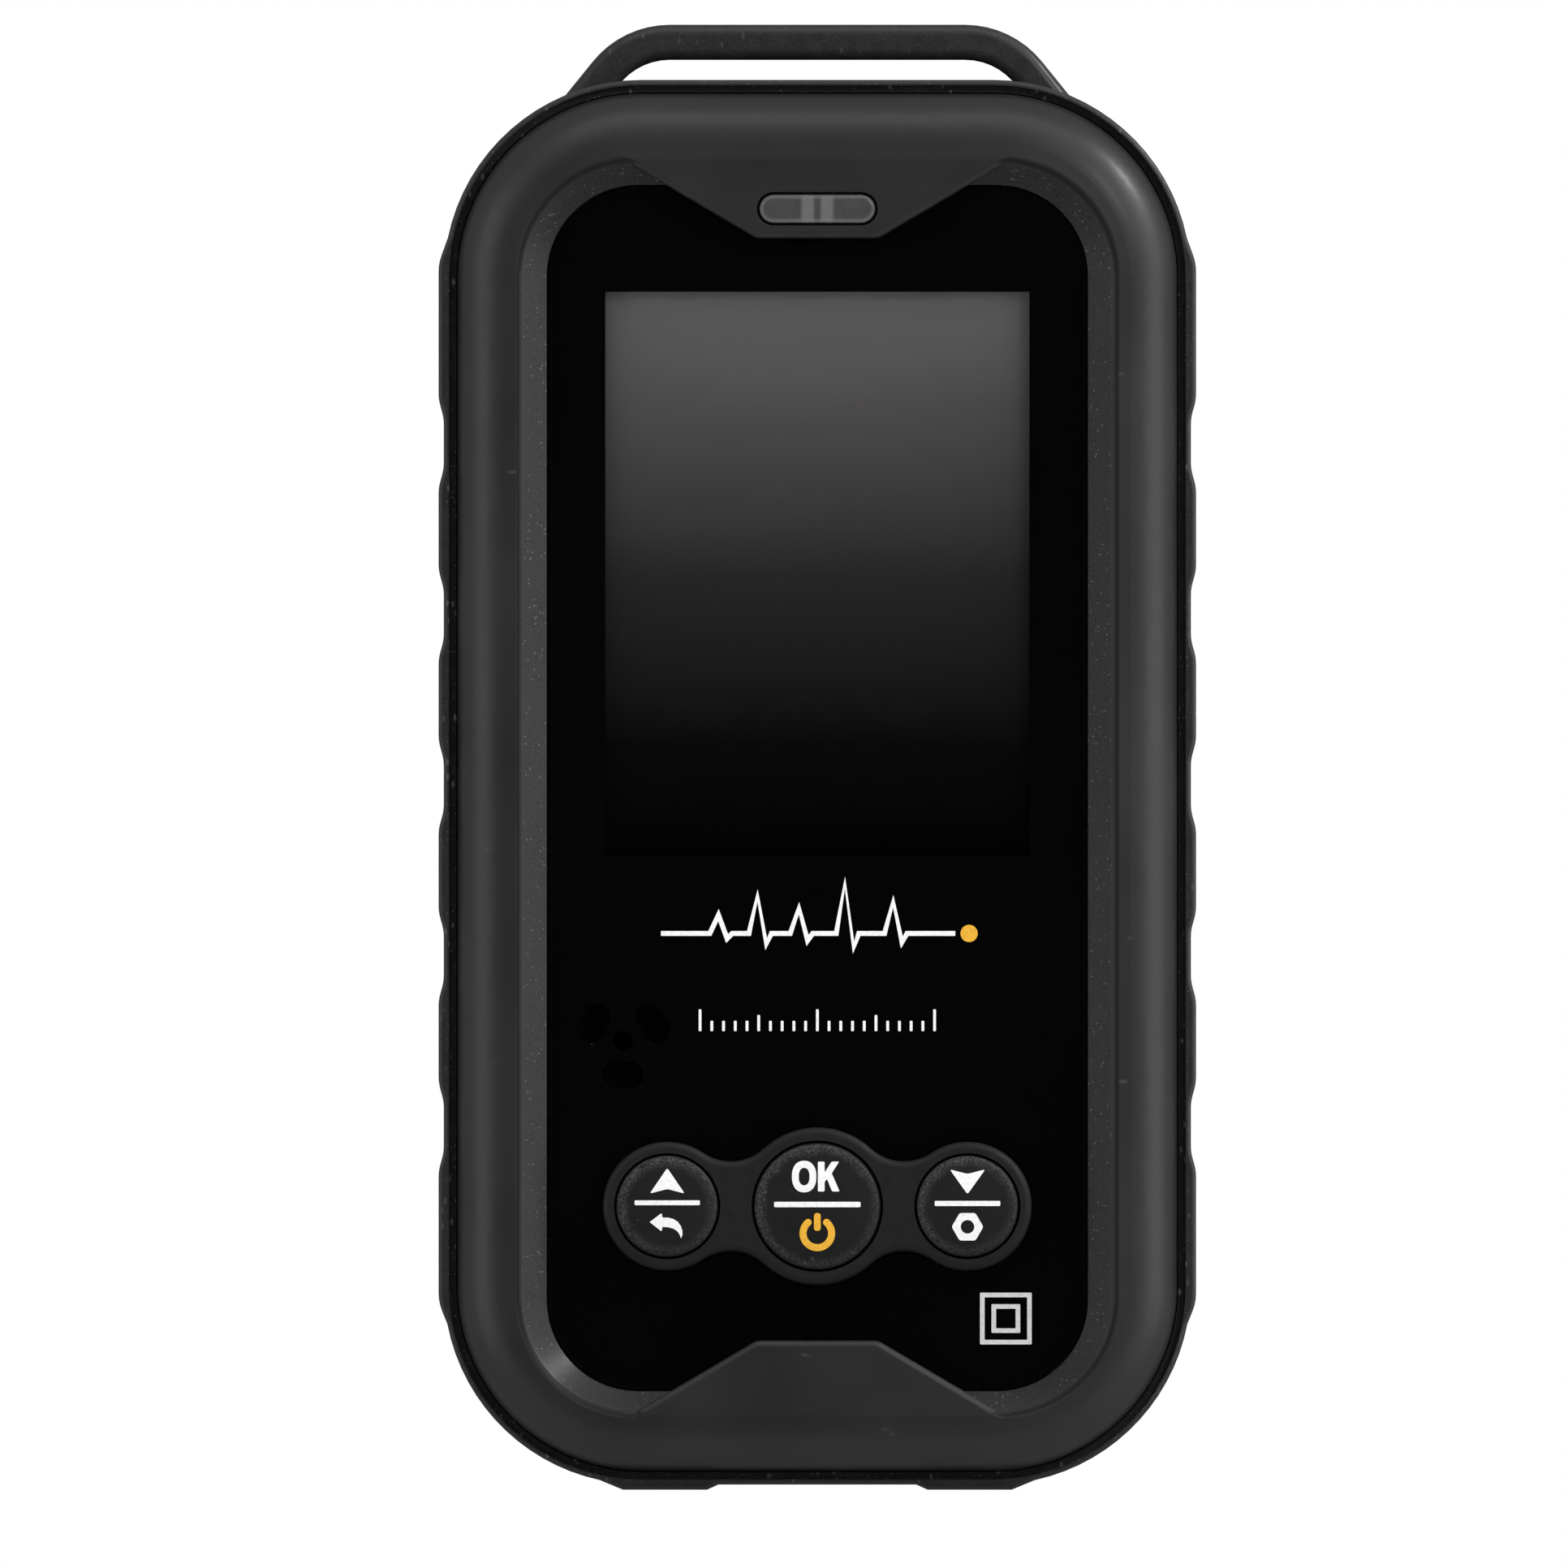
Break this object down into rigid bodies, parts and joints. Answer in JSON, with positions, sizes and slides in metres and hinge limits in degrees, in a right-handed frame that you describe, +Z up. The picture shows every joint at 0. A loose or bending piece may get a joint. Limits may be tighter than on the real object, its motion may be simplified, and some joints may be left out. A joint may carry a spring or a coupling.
{
  "type": "geiger counter",
  "caption": "Upright handheld radiation detector: glossy window over a tall display, round keys in a lobed bezel, status light, sound slots, rubber grip band with lanyard loop.",
  "frame": {"origin": "on the floor under the middle of the case, between the two feet", "axes": "+Z up along the case towards the lanyard loop, -Y out of the display, +X to the right seen from the front"},
  "size_m": [0.0658, 0.027, 0.1275],
  "materials": {
    "cover_plastic": "fine-grained black moulding, soft sheen",
    "band_rubber": "soft black elastomer, slightly dusty",
    "gasket_rubber": "soft dark grey",
    "screw_steel": "blackened steel",
    "label_film": "dark grey polyester film, blank",
    "filter_film": "thin black film",
    "window_glass": "clear hard-coated acrylic, polished",
    "window_ink": "black printed ink",
    "adhesive": "black foam adhesive tape",
    "key_plastic": "fine matte black",
    "key_cap": "matte black silicone",
    "lens_plastic": "smoked translucent",
    "mesh_cloth": "fine black woven mesh",
    "buzzer_plastic": "black, plain",
    "display_glass": "dark polarised glass",
    "white_plastic": "white, plain",
    "ribbon_film": "amber polyimide film",
    "connector_plastic": "ivory, plain",
    "board_green": "green solder mask over glass laminate",
    "chip_plastic": "black epoxy",
    "steel_bright": "bright plated steel",
    "nickel": "nickel plate",
    "led_plastic": "pale resin",
    "ferrite": "dark sintered ferrite",
    "winding": "varnished copper wire",
    "capacitor_film": "blue film sleeve",
    "tube_glass": "thin tinted glass",
    "anode_wire": "fine tungsten wire",
    "clip_bronze": "spring bronze",
    "cell_foil": "laminated foil pouch",
    "lead_red": "red insulation",
    "lead_black": "black insulation"
  },
  "bodies": {
    "case": {"battery_board": "board_green", "battery_cell": "cell_foil", "battery_header": "connector_plastic", "battery_lead_negative": "lead_black", "battery_lead_positive": "lead_red", "battery_pad": "adhesive", "battery_plug": "connector_plastic", "board_screws": "steel_bright", "buzzer": "buzzer_plastic", "case_gasket": "gasket_rubber", "case_screws": "screw_steel", "front_cover": "cover_plastic", "grip_band": "band_rubber", "hv_capacitors": "capacitor_film", "indicator_leds": "led_plastic", "indicator_lens": "lens_plastic", "key_bezel": "key_plastic", "lcd_backlight": "white_plastic", "lcd_connector": "connector_plastic", "lcd_flex": "ribbon_film", "lcd_gasket": "gasket_rubber", "lcd_glass": "display_glass", "lcd_holder": "buzzer_plastic", "lcd_pad": "gasket_rubber", "main_board": "board_green", "processor_chip": "chip_plastic", "rear_cover": "cover_plastic", "rear_label": "label_film", "sensor_film": "filter_film", "small_chips": "chip_plastic", "sound_gasket": "gasket_rubber", "sound_mesh": "mesh_cloth", "switch_bodies": "steel_bright", "transformer_coil": "winding", "transformer_core": "ferrite", "tube_anode_wire": "anode_wire", "tube_caps": "nickel", "tube_clips": "clip_bronze", "tube_cushions": "gasket_rubber", "tube_glass": "tube_glass", "tube_sleeves": "nickel", "usb_shell": "nickel", "usb_tongue": "chip_plastic", "window_glass": "window_glass", "window_ink": "window_ink", "window_tape": "adhesive"},
    "key_up": {"button_up": "key_cap", "switch_plunger_up": "chip_plastic"},
    "key_ok": {"button_ok": "key_cap", "switch_plunger_ok": "chip_plastic"},
    "key_down": {"button_down": "key_cap", "switch_plunger_down": "chip_plastic"}
  },
  "joints": [
    {"name": "key_up_press", "type": "slide", "parent": "case", "child": "key_up", "axis": [0, 1, 0], "range_m": [0, 0.0005], "stiffness_N_per_m": 3000, "springref_m": -0.0002},
    {"name": "key_ok_press", "type": "slide", "parent": "case", "child": "key_ok", "axis": [0, 1, 0], "range_m": [0, 0.0005], "stiffness_N_per_m": 3000, "springref_m": -0.0002},
    {"name": "key_down_press", "type": "slide", "parent": "case", "child": "key_down", "axis": [0, 1, 0], "range_m": [0, 0.0005], "stiffness_N_per_m": 3000, "springref_m": -0.0002}
  ]
}
